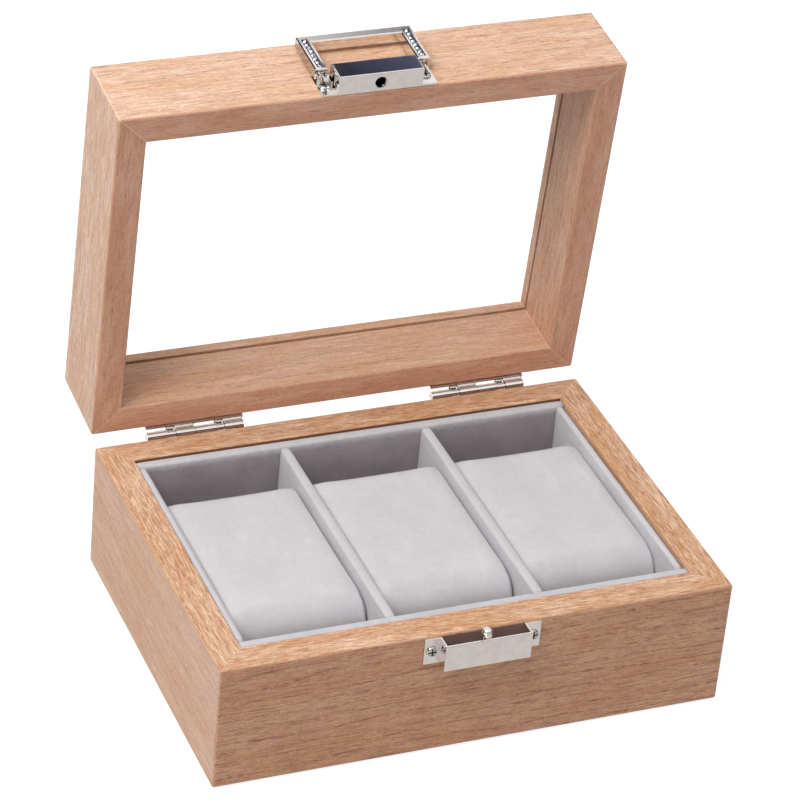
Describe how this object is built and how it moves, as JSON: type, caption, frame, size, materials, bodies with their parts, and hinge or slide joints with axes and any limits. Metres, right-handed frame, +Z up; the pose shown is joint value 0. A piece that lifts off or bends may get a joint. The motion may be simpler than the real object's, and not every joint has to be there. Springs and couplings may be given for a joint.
{
  "type": "watch box",
  "caption": "Wooden display box for watches with a glass-topped hinged lid, velvet compartments with lift-out pillows and a metal clasp with a pull bail.",
  "frame": {"origin": "centre of the underside, on the surface that the box stands on", "axes": "+Z up, +Y from the clasp to the hinges, +X to the right when the clasp faces you"},
  "size_m": [0.201, 0.1926, 0.2101],
  "materials": {
    "wood": "satin veneer, fine straight grain",
    "panel": "plain board",
    "felt": "felt",
    "velvet": "short pile velvet",
    "pillow_velvet": "short pile velvet",
    "pane": "clear, polished",
    "nickel": "polished nickel plate",
    "steel": "plated steel",
    "crystal": "faceted, foil backed"
  },
  "bodies": {
    "base": {"base_front_board": "wood", "base_back_board": "wood", "base_left_board": "wood", "base_right_board": "wood", "base_floor_panel": "panel", "base_felt": "felt", "liner_floor": "velvet", "liner_front": "velvet", "liner_back": "velvet", "liner_left": "velvet", "liner_right": "velvet", "divider_left": "velvet", "divider_right": "velvet", "hinge_left_base_leaf": "nickel", "hinge_right_base_leaf": "nickel", "hinge_left_pin": "steel", "hinge_right_pin": "steel", "hinge_base_screws": "steel", "keeper_bracket": "nickel", "keeper_stud": "nickel", "keeper_screws": "steel"},
    "lid": {"lid_front_rail": "wood", "lid_back_rail": "wood", "lid_left_rail": "wood", "lid_right_rail": "wood", "lid_pane": "pane", "hinge_left_lid_leaf": "nickel", "hinge_right_lid_leaf": "nickel", "hinge_lid_screws": "steel", "clasp_plate": "nickel", "clasp_block": "nickel", "clasp_catch_spring": "steel", "clasp_screws": "steel", "clasp_pivot_pins": "steel"},
    "bail": {"bail_frame": "nickel", "bail_crystals": "crystal"},
    "left_pillow": {"pillow_left": "pillow_velvet"},
    "middle_pillow": {"pillow_middle": "pillow_velvet"},
    "right_pillow": {"pillow_right": "pillow_velvet"}
  },
  "joints": [
    {"name": "lid_hinge", "type": "hinge", "parent": "base", "child": "lid", "pos_m": [0, 0.0765, 0.0519], "axis": [-1, 0, 0], "range_deg": [-84.1, 0]},
    {"name": "bail_hinge", "type": "hinge", "parent": "lid", "child": "bail", "pos_m": [0, 0.07338, 0.20559], "axis": [1, 0, 0], "range_deg": [0, 75]},
    {"name": "left_pillow_lift", "type": "slide", "parent": "base", "child": "left_pillow", "axis": [0, 0, 1], "range_m": [0, 0.055]},
    {"name": "middle_pillow_lift", "type": "slide", "parent": "base", "child": "middle_pillow", "axis": [0, 0, 1], "range_m": [0, 0.055]},
    {"name": "right_pillow_lift", "type": "slide", "parent": "base", "child": "right_pillow", "axis": [0, 0, 1], "range_m": [0, 0.055]}
  ]
}
